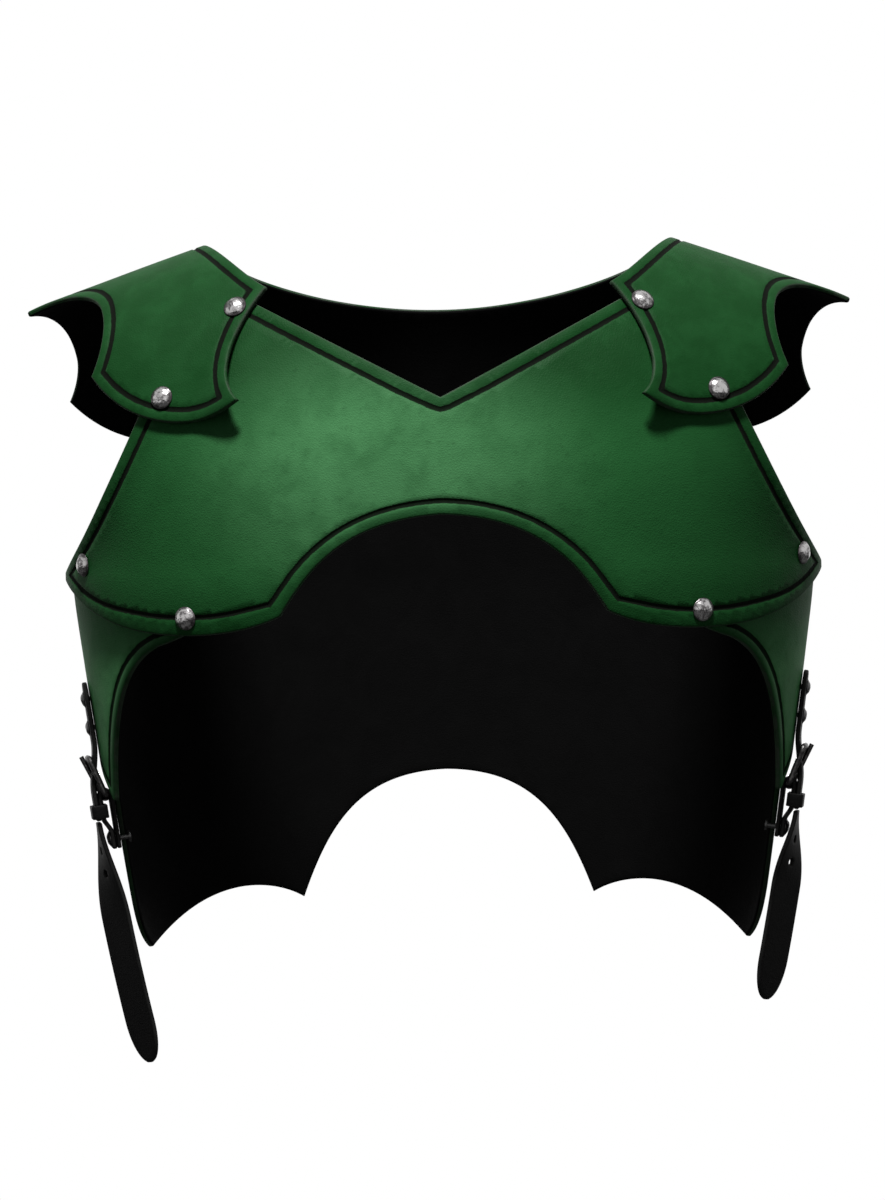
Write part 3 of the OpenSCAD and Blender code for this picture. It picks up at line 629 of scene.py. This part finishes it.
# Side panels: a wing of the same leather riveted behind each lobe of the chest plate, drawn down to
# a point, with the tooled line along its edges. Its lower part is painted lighter, as painted light in place
# of the lamp light that its sideways face doesn't get. The side strap is riveted on it near its rear edge.
panel_layer = layer_pitch
point_front, point_rear = (75.2, -280), (76.8, -280)
panel_edges = [
    straight(point_front, point_rear, 4),
    np.concatenate([curve([(94, -240), (92, -258), (82, -268), point_rear])[::-1],
                    curve([(94, -182), (94.5, -205), (95, -225), (94, -240)])[::-1][1:]]),
    curve([(37, -180), (52, -146), (72, -132), (94, -182)])[::-1],
    curve([(37, -180), (39, -190), (45, -197), (51, -200.5)]),
    curve([(51, -200.5), (61, -210), (67.5, -232), point_front]),
]
panel_edges = [on_side(e) for e in panel_edges]
panel_mesh = sheet_mesh(body_at, panel_edges, (1.95, 2.62), leather, panel_layer, line=5.5,
                        holes=[round_hole(body_at, c, hole) for c in panel_places], wave=0.1)
# A lighter copy of the green leather: painted light on the side panels.
lighter_painted_leather = leather_material("green_leather_painted_lighter", light=(0.105, 0.34, 0.13, 1),
                                middle=(0.02, 0.12, 0.032, 1), **green_edges)
# Painted light below 180 mm down, where the panel faces sideways.
pair("side_panel", panel_mesh, lighter_painted_leather, lambda x, z: ease((-0.18 - z) / 0.04))


# Back plate: one panel with a round neckline, armhole edges and a lower edge of three arches between
# four points, like a bat's wing, with the same tooled line. The shoulder guards are riveted on it.
def behind(points):
    """Angle and girth of points of the back, given by x and height."""
    q = on_chest(points)
    return np.stack([180 - q[:, 0], q[:, 1]], 1)


inner_point, outer_point = (78, -339), (156, -360)
neck_corner, armhole_top, armhole_foot = (112, -2.6), (148, -17), (80.7, -205)
outer_angle, armhole_angle = behind([outer_point, armhole_top])[:, 0]
back_half = [
    behind(curve([inner_point, (94, -329), (128, -325), outer_point])),
    on_side(curve([(outer_angle, outer_point[1]), (86, -345), (84, -300), armhole_foot])),
    on_side(curve([(armhole_angle, armhole_top[1]), (138, -100), (100, -190), armhole_foot])[::-1]),
    behind(straight(armhole_top, neck_corner)),
]


def other_side(edge):
    """The mirror image of an edge of the back, run the other way."""
    return edge[::-1] * [-1, 1] + [360, 0]


half_neck = behind(curve([(0, -24), (40, -24), (85, -16), neck_corner])[::-1])
half_arch = behind(curve([(0, -272), (47, -273), (64, -300), inner_point]))
back_neck = np.concatenate([half_neck, other_side(half_neck)[1:]])
back_arch = np.concatenate([other_side(half_arch), half_arch[1:]])
back_edges = back_half + [back_neck] + [other_side(e) for e in back_half[::-1]] + [back_arch]
guard_back_places = np.array([(104.0, 44.0), (142.0, 57.0)])
back_places = shoulder_to_body(guard_back_places)
back_places = np.concatenate([back_places, back_places * [-1, 1] + [360, 0]])
back_mesh = sheet_mesh(body_at, back_edges, body_scale, leather, 0.0, grid=3.8, line=7.0,
                       holes=[round_hole(body_at, c, hole) for c in back_places], wave=0.15)
# Painted sheen: the back is painted lighter round its middle, as the chest is.
piece("back_plate_leather", back_mesh, green_leather, "shell", ["back_plate"],
      painted_light=lambda x, z: 0.7 * ease(1 - np.hypot(x, 0.8 * (z + 0.16)) / 0.16))


# Shoulder guards: a saddle of leather over each shoulder, riveted on the chest plate in front and on
# the back plate behind, with hollow outer edges and a lower corner that stands off the chest.
def shoulder_at(q):
    """A point of the shoulder from its x and its girth, which is negative in front, in mm."""
    z = ridge(q[:, 0]) - drop_of(np.abs(q[:, 1]))
    side = np.sqrt(np.maximum(0, 1 - (q[:, 0] / half_width(z)) ** 2))
    depth = np.where(q[:, 1] < 0, front_depth, back_depth)
    return np.stack([q[:, 0], depth * np.sin(np.radians(q[:, 1])) * side, z], 1)


low_front, low_back, ridge_neck, ridge_tip = (94.5, -65.4), (96, 63), (118.5, 0), (212, 0)
guard_front_edge = curve([low_front, (110, -67.5), (150, -64), (171, -45.9)])
guard_back_edge = curve([low_back, (112, 66), (165, 66), (194, 44)])
guard_neck = [
    curve([low_front, (106, -60), (104, -50), (83, -41)]),
    curve([(83, -41), (96, -35), (118.5, -15), ridge_neck]),
    curve([ridge_neck, (118.5, 15), (98, 35), (83, 41)]),
    curve([(83, 41), (104, 50), (106, 58), low_back]),
]
guard_outer = [
    curve([(171, -45.9), (166, -41), (165, -34), (168, -28)]),
    curve([(168, -28), (170, -22), (184, -10), ridge_tip]),
    curve([ridge_tip, (203, 7), (193, 20), (190, 33)]),
    curve([(190, 33), (189.5, 37), (191, 41), (194, 44)]),
]


def along(parts, t):
    """Points at shares of the way along an edge that is made of several curves."""
    k = np.minimum(np.floor(t * len(parts) + 1e-4).astype(int), len(parts) - 1)
    local = np.clip(t * len(parts) - k, 0, 1) * curve_steps
    i = np.minimum(local.astype(int), curve_steps - 1)
    stack = np.array(parts)
    return stack[k, i] * (1 - (local - i))[:, None] + stack[k, i + 1] * (local - i)[:, None]


def patch_places(lower, upper, first, last, steps):
    """Places of a patch between four edges, and their two shares from 0 to 1."""
    t = np.linspace(0, 1, steps)
    low_edge, high_edge, left, right = along([lower], t), along([upper], t), along(first, t), along(last, t)
    u, v = t[None, :, None], t[:, None, None]
    between_ends = low_edge[None] * (1 - v) + high_edge[None] * v
    between_sides = left[:, None] * (1 - u) + right[:, None] * u
    low_corners = low_edge[0] * (1 - u) + low_edge[-1] * u
    high_corners = high_edge[0] * (1 - u) + high_edge[-1] * u
    places = between_ends + between_sides - (low_corners * (1 - v) + high_corners * v)
    uu, vv = np.meshgrid(t, t)
    return places.reshape(-1, 2), np.stack([uu.ravel(), vv.ravel()], 1)


girth_length = 2.2
guard_places, guard_shares = patch_places(guard_front_edge, guard_back_edge, guard_neck, guard_outer, 160)
guard_tree = kdtree.KDTree(len(guard_places))
for k, p in enumerate(guard_places):
    guard_tree.insert((p[0], p[1] * girth_length, 0), k)
guard_tree.balance()
corner_lift = 8.0


def guard_level(q, base):
    """How far the guard's inner face is from the body: on the chest plate in front and on the back plate
    behind, with the lower inner corner lifted."""
    near = [guard_tree.find_n((p[0], p[1] * girth_length, 0), 4) for p in q]
    weight = np.array([[1 / (f[2] + 1e-3) for f in found] for found in near])
    weight /= weight.sum(1, keepdims=True)
    which = np.array([[f[1] for f in found] for found in near])
    share = np.einsum("nk,nkc->nc", weight, guard_shares[which])
    lift = corner_lift * ease(1 - share[:, 0] / 0.4) * ease(1 - share[:, 1] / 0.2)
    across = ease((q[:, 1] + 40) / 80)
    return (chest_layer + layer_pitch) * (1 - across) + layer_pitch * across + lift


guard_edges = [guard_front_edge] + guard_outer + [guard_back_edge[::-1]] + [e[::-1] for e in guard_neck[::-1]]
guard_rivets = np.concatenate([guard_front_places, guard_back_places])
guard_mesh = sheet_mesh(shoulder_at, guard_edges, (1.1, 2.3), leather, guard_level, turned=True, line=6.0,
                        holes=[round_hole(shoulder_at, c, hole) for c in guard_rivets], wave=0.1, grid=3.0)
pair("shoulder_guard", guard_mesh, green_leather)


# Side straps: 20 mm of black 2.5 mm leather, riveted with two small rivets on each side panel. They
# run down over the buckle, where the prong goes through a slot, and on through a keeper.
closure_angle, closure_height, closure_span = 86, -255, 40
strap_leather, strap_half = 2.5, 10.0
wire_half, chape_leather = 1.5, 2.2
bar_room = wire_half + 0.25
bar_z, tail_top, root_top = -23.0, -36.5, 37.0
chape_inner = layer_pitch
bar_x = chape_inner + chape_leather + bar_room
root_inner = 2 * layer_pitch
strap_low_inner = bar_x + bar_room + chape_leather + 0.3


def closure_frame():
    """The point that the closure is measured from, and its directions outward, backward and up."""
    steps = np.array([(0, 0), (0, closure_span), (0, -closure_span), (-2, 0), (2, 0)])
    place, top, bottom, ahead, rear = body_at(on_side(steps + [closure_angle, closure_height]))
    up = unit(top - bottom)
    out = unit(np.cross(rear - ahead, up))
    return place, np.stack([out, np.cross(up, out), up])


closure_place, closure_axes = closure_frame()


def at_closure(points):
    return closure_place + np.asarray(points, float) @ closure_axes


def strap_x(z):
    share = ease((6 - z) / 28)
    return root_inner * (1 - share) + strap_low_inner * share


def strap_at(q):
    """The strap's inner face, from its height and its place across."""
    return at_closure(np.stack([strap_x(q[:, 0]), q[:, 1], q[:, 0]], 1))


black_leather = leather_material("black_leather", light=(0.005, 0.005, 0.005, 1),
                                 middle=(0.004, 0.004, 0.004, 1), dark=(0.0025, 0.0025, 0.0025, 1),
                                 rim=(0.014, 0.014, 0.0135, 1), tooled=(0.002, 0.002, 0.002, 1))
strap_bottom, round_from = tail_top + 1, root_top - strap_half
turn = np.linspace(np.pi / 2, -np.pi / 2, 25)
strap_edges = [
    straight((strap_bottom, strap_half), (round_from, strap_half), 30),
    np.stack([round_from + strap_half * np.cos(turn), strap_half * np.sin(turn)], 1),
    straight((round_from, -strap_half), (strap_bottom, -strap_half), 30),
    straight((strap_bottom, -strap_half), (strap_bottom, strap_half), 10),
]
strap_rivet_heights, small_hole = (28, 13), 1.5
slot_top, slot_bottom, slot_half = -8.6, -21.5, 1.75
strap_holes = [round_hole(strap_at, (z, 0), small_hole, 0.3) for z in strap_rivet_heights]
strap_holes.append(round_hole(strap_at, ((slot_bottom + slot_top) / 2, 0), slot_half, 0.4,
                              stretch=(slot_top - slot_bottom) / 2 - slot_half))
strap_mesh = sheet_mesh(strap_at, strap_edges, (1, 1), strap_leather, 0.0, spacing=1.2, grid=2.2,
                        round_edge=0.7, holes=strap_holes)
pair("side_strap", strap_mesh, black_leather)


# Free ends of the straps: the same strip below the keeper, hanging with a turn and a bow that the
# leather keeps from being coiled, with spare holes and a rounded end. Left 128 mm, right 100 mm.
tail_mid_x = strap_low_inner + strap_leather / 2
tail_twist, tail_point, turn_share = 42, 22, 0.4
spare_hole, spare_places = 2.0, (15, 27)


def tail_surface(length, curl):
    """The middle of the leather of a free end, from the distance down it and the place across."""
    def at(q):
        share = q[:, 0] / length
        turn = np.radians(tail_twist * ease(share / turn_share))
        x = tail_mid_x - curl * share**2 + np.sin(turn) * q[:, 1]
        return at_closure(np.stack([x, np.cos(turn) * q[:, 1], tail_top - q[:, 0]], 1))
    return at


def tail_half(s, length):
    """Half the width of the free end at a distance down it."""
    left = np.maximum(length - s, 0)
    end = strap_half * np.sqrt(np.maximum(0, 1 - (1 - left / tail_point) ** 2))
    return np.where(left > tail_point, strap_half, np.maximum(1.2, end))


for side, mirror, length, curl in (("right", False, 100, 3.5), ("left", True, 128, 6.5)):
    surface = tail_surface(length, curl)
    straight_part = np.linspace(0, length - tail_point, 40)
    round_part = length - tail_point * (1 - np.sin(np.linspace(0, np.pi / 2, 30)[1:]))
    s = np.concatenate([straight_part, round_part])
    edge = np.stack([s, tail_half(s, length)], 1)
    tail_edges = [edge, straight(edge[-1], edge[-1] * [1, -1], 4), (edge * [1, -1])[::-1],
                  straight((0, -strap_half), (0, strap_half), 10)]
    tail_holes = [round_hole(surface, (at, 0), spare_hole, 0.4) for at in spare_places]
    tail_mesh = sheet_mesh(surface, tail_edges, (1, 1), strap_leather, -strap_leather / 2, turned=True,
                           spacing=1.2, grid=2.2, round_edge=0.7, holes=tail_holes)
    piece("strap_tail_leather_" + side, tail_mesh, black_leather, "tail_" + side, ["strap_tail_" + side],
          mirror)


# Chapes: a strip of 2.2 mm leather folded round the buckle's bar, slotted for the prong and riveted
# on the back plate through both layers.
chape_bottom, chape_rivet_z, chape_rivet_y = -51.0, -46.0, (-4.8, 4.8)
bend_top, bend_length = -35.5, 6
chape_low_x = chape_inner + chape_leather + 0.3
half_chape = chape_leather / 2
fold_radius = bar_room + half_chape
turn = np.linspace(0, math.pi, 25)
fold = np.stack([bar_x - fold_radius * np.cos(turn), bar_z + fold_radius * np.sin(turn)], 1)
outer_leg = [(bar_x + fold_radius, bend_top), (chape_low_x + half_chape, bend_top - bend_length),
             (chape_low_x + half_chape, chape_bottom)]
chape_path = np.concatenate([[(chape_inner + half_chape, chape_bottom)], fold, outer_leg])
soften, soft_steps = 1.2, 7


def along_path(path, q0):
    """Points of a path of x and z by the distance along it, with its bends softened."""
    run = np.concatenate([[0], np.cumsum(np.linalg.norm(np.diff(path, axis=0), axis=1))])
    total = 0
    for shift in np.linspace(-soften, soften, soft_steps):
        at = np.clip(q0 + shift, 0, run[-1])
        total = total + np.stack([np.interp(at, run, path[:, k]) for k in (0, 1)], 1)
    return total / soft_steps, run[-1]


chape_length = along_path(chape_path, np.zeros(1))[1]
inner_leg = bar_z - chape_bottom


def chape_at(q):
    """The middle of the chape's leather, whose ends aren't softened."""
    xz, _ = along_path(chape_path, q[:, 0])
    from_end = np.minimum(q[:, 0], chape_length - q[:, 0])
    z = np.where(from_end < 2, chape_bottom + from_end, xz[:, 1])
    return at_closure(np.stack([xz[:, 0], q[:, 1], z], 1))


slot_past = bar_room + 1.6
slot_start, slot_end = inner_leg - slot_past, inner_leg + math.pi * fold_radius + slot_past
prong_slot_half = 1.95
rivet_run = chape_rivet_z - chape_bottom


def strip_edges(length, low, high, across):
    """The four edges of a straight strip, from its two sides and the number of steps across it."""
    return [
        straight((0, low), (length, low), 60),
        straight((length, low), (length, high), across),
        straight((length, high), (0, high), 60),
        straight((0, high), (0, low), across),
    ]


chape_edges = strip_edges(chape_length, -strap_half, strap_half, 12)
chape_holes = [round_hole(chape_at, (s, y), small_hole, 0.3) for s in (rivet_run, chape_length - rivet_run)
               for y in chape_rivet_y]
chape_holes.append(round_hole(chape_at, ((slot_start + slot_end) / 2, 0), prong_slot_half, 0.3,
                              stretch=(slot_end - slot_start) / 2 - prong_slot_half))
chape_mesh = sheet_mesh(chape_at, chape_edges, (1, 1), chape_leather, -half_chape, turned=True, spacing=1.2,
                        grid=1.6, round_edge=0.6, holes=chape_holes)
pair("buckle_chape", chape_mesh, black_leather)


# Keepers: a loop of 1.5 mm leather round the strap and the chape's outer layer, butted at the back. It
# holds the strap down between the buckle and the chape's rivets.
keeper_leather, keeper_top, keeper_bottom = 1.5, -27.5, -34.5
keeper_low_x = bar_x + bar_room - 0.3 - keeper_leather / 2
keeper_high_x = strap_low_inner + strap_leather + 0.3 + keeper_leather / 2
keeper_half = strap_half + 0.4 + keeper_leather / 2
keeper_path = np.array([(keeper_low_x, 0.0), (keeper_low_x, -keeper_half), (keeper_high_x, -keeper_half),
                        (keeper_high_x, keeper_half), (keeper_low_x, keeper_half), (keeper_low_x, 0.0)])
keeper_length = along_path(keeper_path, np.zeros(1))[1]


def keeper_at(q):
    xy, _ = along_path(keeper_path, q[:, 0])
    return at_closure(np.stack([xy[:, 0], xy[:, 1], q[:, 1]], 1))


keeper_edges = strip_edges(keeper_length, keeper_bottom, keeper_top, 6)
keeper_mesh = sheet_mesh(keeper_at, keeper_edges, (1, 1), keeper_leather, -keeper_leather / 2, turned=True,
                         spacing=0.8, grid=1.3, round_edge=0.45)
pair("strap_keeper", keeper_mesh, black_leather)


# Rivets: domed caps, a little dented from setting, on tubular steel posts with a flange inside. The
# large caps are nickel-plated, the small ones blackened. Each cap is darker at its rim, which is tarnish
# and painted shade where the cap meets the leather. The posts are the CAD's own.
def metal_material(name, colour, dark, rough, metallic=1.0):
    material, tree, shader = principled(name)
    where = put(tree, "ShaderNodeTexCoord").outputs["Object"]
    shader.inputs["Metallic"].default_value = metallic
    patch = noise(tree, where, 330, 5, 0.65, 0.5)
    # Darker rim of a cap: tarnish and painted shade where the cap meets the leather.
    rim = put(tree, "ShaderNodeAttribute", attribute_name="tarnish_and_shade").outputs["Fac"]
    stain_and_shade = math_node(tree, "ADD", ramp(tree, patch, 0.42, 0.6, 0.0, 0.9), rim, True)
    tree.links.new(blend_colour(tree, stain_and_shade, colour, dark), shader.inputs["Base Color"])
    tree.links.new(math_node(tree, "ADD", rough, product(tree, stain_and_shade, 0.2)), shader.inputs["Roughness"])
    dents = noise(tree, where, 420, 2, 0.5)
    bump = put(tree, "ShaderNodeBump", {"Strength": 0.7, "Distance": 0.0006})
    tree.links.new(dents, bump.inputs["Height"])
    tree.links.new(bump.outputs[0], shader.inputs["Normal"])
    return material


rivet_silver = metal_material("rivet_silver", (0.44, 0.43, 0.43, 1), (0.055, 0.05, 0.052, 1), 0.2)
rivet_black = metal_material("rivet_black", (0.008, 0.008, 0.008, 1), (0.02, 0.02, 0.02, 1), 0.25, 0.0)
buckle_steel = metal_material("buckle_steel", (0.06, 0.059, 0.058, 1), (0.022, 0.021, 0.021, 1), 0.34)
seat = 0.3
large_cap, small_cap = (12, 3.2), (8, 1.8)
around, rings = 36, 12
dent_depth, undented, tarnish_and_shade_width = 0.045, 1.5, 1.4


def cap_points(diameter, height, place, axes, dice):
    """A domed cap with a rolled rim and a few shallow dents, darker toward the rim as tarnish and painted
    shade.
    """
    radius = diameter / 2
    ball = (radius**2 + height**2) / (2 * height)
    phase, push = dice.uniform(0, 6.28, 6), dice.uniform(-1, 1, (6, 2)) * 2.2 / radius * 3
    points, faces, tarnish_and_shade = [], [], []
    dome_part = [(radius * k / rings, None) for k in range(rings)]
    rim_part = [(radius - 0.05, 0.42), (radius, 0.22), (radius - 0.12, 0.0)]
    for r, z in dome_part + rim_part:
        count = 1 if r == 0 else around
        turn = np.linspace(0, 2 * np.pi, count, endpoint=False)
        x, y = r * np.cos(turn), r * np.sin(turn)
        dome = math.sqrt(ball**2 - r**2) - (ball - height) if z is None else z
        dent = sum(np.sin(x * a + y * b + c) for (a, b), c in zip(push, phase)) * dent_depth * (z is None)
        points.append(np.stack([x, y, dome + dent * min(1, (radius - r) / undented)], 1))
        # How dark the rim is: tarnish and painted shade.
        tarnish_and_shade += [float(np.clip(1 - (radius - r) / tarnish_and_shade_width, 0, 1))] * count
    starts = np.cumsum([0] + [len(p) for p in points])
    for k in range(around):
        j = (k + 1) % around
        faces.append((0, 1 + k, 1 + j))
        for a, b in zip(starts[1:-2], starts[2:-1]):
            faces.append((a + k, b + k, b + j, a + j))
    faces.append(tuple(range(starts[-1] - 1, starts[-2] - 1, -1)))
    return place + np.concatenate(points) @ axes, faces, tarnish_and_shade


def upright(n):
    a = unit(np.cross([0, 0, 1.0], n))
    return np.stack([a, np.cross(n, a), n])


def caps(name, stands_for, size, seats, material):
    """All the caps of one kind, on both sides, as one piece. Each seat is a place and its axes."""
    dice = np.random.default_rng(len(name))
    all_points, all_faces, all_tarnish_and_shade, count = [], [], [], 0
    for place, axes in seats:
        for flip in (1, -1):
            points, faces, tarnish_and_shade = cap_points(*size, place, axes, dice)
            if flip < 0:
                points, faces = points * [-1, 1, 1], [f[::-1] for f in faces]
            all_points.append(points)
            all_faces += [tuple(i + count for i in f) for f in faces]
            all_tarnish_and_shade += tarnish_and_shade
            count += len(points)
    mesh = {"points": np.concatenate(all_points), "faces": all_faces}
    made = piece(name, mesh, material, "shell", [stands_for])
    made.data.attributes.new("tarnish_and_shade", "FLOAT", "POINT").data.foreach_set("value", all_tarnish_and_shade)


def seats_on(surface, places, level, turned=False):
    """Places and axes of caps at a level above a surface."""
    n = slopes(surface, np.asarray(places, float), turned)[2]
    return [(p, upright(m)) for p, m in zip(surface(np.asarray(places, float)) + n * level, n)]


front_seats = seats_on(shoulder_at, guard_front_places, chest_layer + layer_pitch + leather + seat, True)
back_seats = seats_on(shoulder_at, guard_back_places, layer_pitch + leather + seat, True)
panel_seats = seats_on(body_at, panel_places, chest_layer + leather + seat)
outward, backward, upward = closure_axes
closure_turn = np.stack([-upward, backward, outward])
strap_cap_x, chape_cap_x = root_inner + strap_leather + seat / 2, chape_low_x + chape_leather + seat / 2
strap_seats = [(at_closure((strap_cap_x, 0, z)), closure_turn) for z in strap_rivet_heights]
chape_seats = [(at_closure((chape_cap_x, y, chape_rivet_z)), closure_turn) for y in chape_rivet_y]
caps("guard_front_caps", "guard_front_rivet_caps", large_cap, front_seats, rivet_silver)
caps("guard_back_caps", "guard_back_rivet_caps", large_cap, back_seats, rivet_silver)
caps("panel_caps", "panel_rivet_caps", large_cap, panel_seats, rivet_silver)
caps("strap_caps", "strap_rivet_caps", small_cap, strap_seats, rivet_black)
caps("chape_caps", "chape_rivet_caps", small_cap, chape_seats, rivet_black)


# Buckles: a frame of bent steel wire on its bar and a prong that turns on the bar, with the plating
# dulled. Frames, prongs and rivet posts are the CAD's own, which has their round sections.
for name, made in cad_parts.items():
    if name.startswith(("buckle_frame", "buckle_prong")) or "rivet_posts" in name:
        finish = rivet_black if name.startswith(("strap_rivet", "chape_rivet")) else buckle_steel
        made.data.materials.clear()
        made.data.materials.append(finish)
